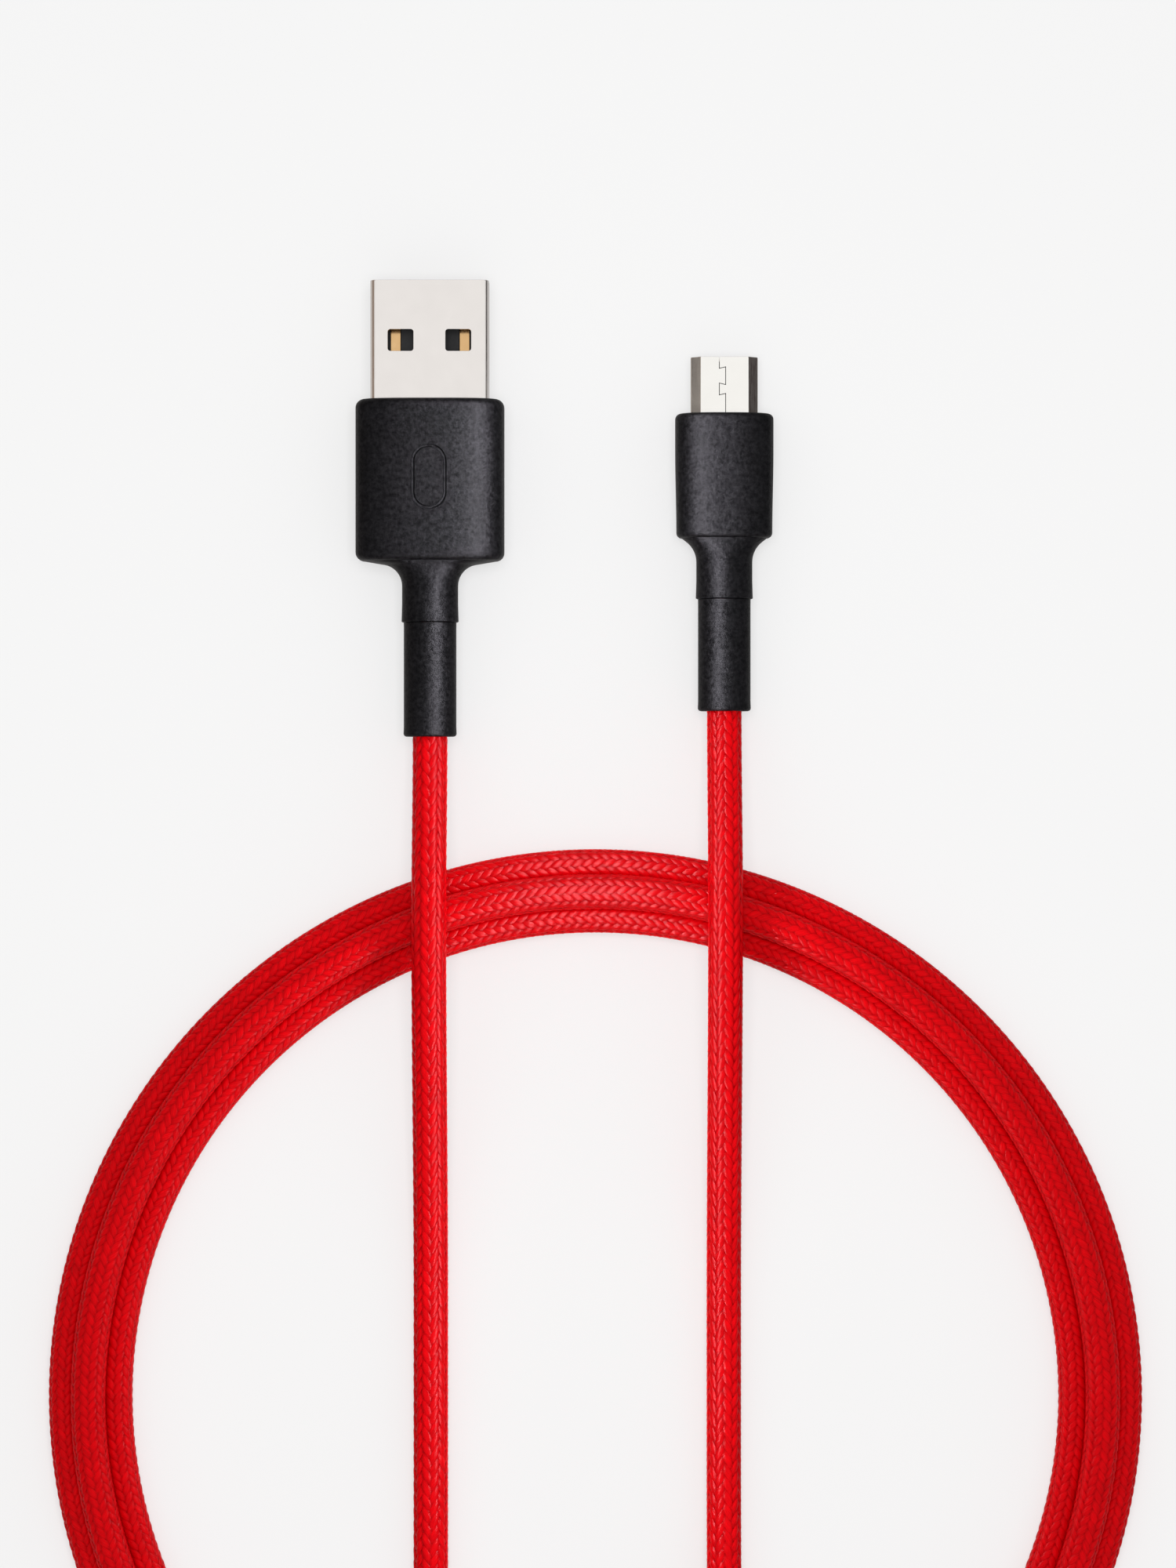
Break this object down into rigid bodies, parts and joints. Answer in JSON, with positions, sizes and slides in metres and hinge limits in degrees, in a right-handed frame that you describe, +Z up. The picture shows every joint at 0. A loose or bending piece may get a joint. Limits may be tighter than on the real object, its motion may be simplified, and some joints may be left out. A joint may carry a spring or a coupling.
{
  "type": "charging cable",
  "caption": "Coiled charging cable with a red woven sleeve, a USB-A plug on one end and a micro-USB-B plug on the other, both in black rubber mouldings with long strain-relief sleeves.",
  "frame": {"origin": "middle of the coiled cable's footprint, on the table it lies on", "axes": "+X from the USB-A plug towards the micro plug, +Y from the coil towards the plugs, +Z up"},
  "size_m": [0.1116, 0.1684, 0.0099],
  "materials": {
    "red_braid": "woven polyester yarn, satin",
    "inner_jacket": "extruded, hidden under the braid",
    "black_rubber": "fine grained soft-touch moulding",
    "plated_steel": "nickel-plated, satin",
    "tinned_steel": "folded sheet, tinned",
    "gold_plate": "gold-plated",
    "black_plastic": "moulded insulator",
    "white_plastic": "moulded over the solder joints",
    "red_insulation": "wire insulation",
    "white_insulation": "wire insulation",
    "green_insulation": "wire insulation",
    "black_insulation": "wire insulation"
  },
  "bodies": {
    "coil": {"coil_braid": "red_braid", "coil_jacket": "inner_jacket", "coil_vbus_wire": "red_insulation", "coil_data_minus_wire": "white_insulation", "coil_data_plus_wire": "green_insulation", "coil_ground_wire": "black_insulation"},
    "usb_a_lead": {"usb_a_lead_braid": "red_braid", "usb_a_lead_jacket": "inner_jacket", "usb_a_lead_vbus_wire": "red_insulation", "usb_a_lead_data_minus_wire": "white_insulation", "usb_a_lead_data_plus_wire": "green_insulation", "usb_a_lead_ground_wire": "black_insulation", "usb_a_sleeve_rear": "black_rubber"},
    "micro_b_lead": {"micro_b_lead_braid": "red_braid", "micro_b_lead_jacket": "inner_jacket", "micro_b_lead_vbus_wire": "red_insulation", "micro_b_lead_data_minus_wire": "white_insulation", "micro_b_lead_data_plus_wire": "green_insulation", "micro_b_lead_ground_wire": "black_insulation", "micro_b_sleeve_rear": "black_rubber"},
    "latches": {"micro_b_left_latch": "tinned_steel", "micro_b_right_latch": "tinned_steel"},
    "contact_springs": {"micro_b_vbus_contact": "gold_plate", "micro_b_data_minus_contact": "gold_plate", "micro_b_data_plus_contact": "gold_plate", "micro_b_id_contact": "gold_plate", "micro_b_ground_contact": "gold_plate"},
    "usb_a_plug": {"usb_a_shell": "plated_steel", "usb_a_tongue": "black_plastic", "usb_a_vbus_contact": "gold_plate", "usb_a_data_minus_contact": "gold_plate", "usb_a_data_plus_contact": "gold_plate", "usb_a_ground_contact": "gold_plate", "usb_a_inner_mould": "white_plastic", "usb_a_rear_shield": "tinned_steel", "usb_a_moulding": "black_rubber", "usb_a_sleeve_front": "black_rubber", "usb_a_end_braid": "red_braid", "usb_a_end_jacket": "inner_jacket", "usb_a_end_vbus_wire": "red_insulation", "usb_a_end_data_minus_wire": "white_insulation", "usb_a_end_data_plus_wire": "green_insulation", "usb_a_end_ground_wire": "black_insulation"},
    "micro_b_plug": {"micro_b_shell": "plated_steel", "micro_b_insulator": "black_plastic", "micro_b_inner_mould": "white_plastic", "micro_b_rear_shield": "tinned_steel", "micro_b_moulding": "black_rubber", "micro_b_sleeve_front": "black_rubber", "micro_b_end_braid": "red_braid", "micro_b_end_jacket": "inner_jacket", "micro_b_end_vbus_wire": "red_insulation", "micro_b_end_data_minus_wire": "white_insulation", "micro_b_end_data_plus_wire": "green_insulation", "micro_b_end_ground_wire": "black_insulation"}
  },
  "joints": [
    {"name": "usb_a_lead_lift", "type": "hinge", "parent": "coil", "child": "usb_a_lead", "pos_m": [-0.0168, -0.0372, 0.0018], "axis": [1, 0, 0], "range_deg": [0, 30]},
    {"name": "micro_b_lead_lift", "type": "hinge", "parent": "coil", "child": "micro_b_lead", "pos_m": [0.0131, -0.0352, 0.0018], "axis": [1, 0, 0], "range_deg": [0, 30]},
    {"name": "usb_a_sleeve_bend", "type": "hinge", "parent": "usb_a_lead", "child": "usb_a_plug", "pos_m": [-0.0168, 0.0438, 0.004], "axis": [0, 0, 1], "range_deg": [-20, 20]},
    {"name": "micro_b_sleeve_bend", "type": "hinge", "parent": "micro_b_lead", "child": "micro_b_plug", "pos_m": [0.0131, 0.0463, 0.0034], "axis": [0, 0, 1], "range_deg": [-20, 20]},
    {"name": "latch_press", "type": "hinge", "parent": "micro_b_plug", "child": "latches", "pos_m": [0.0131, 0.0684, 0.00295], "axis": [1, 0, 0], "range_deg": [0, 3.5]},
    {"name": "contact_spring_press", "type": "hinge", "parent": "micro_b_plug", "child": "contact_springs", "pos_m": [0.0131, 0.0693, 0.0033], "axis": [1, 0, 0], "range_deg": [0, 1.7]}
  ]
}
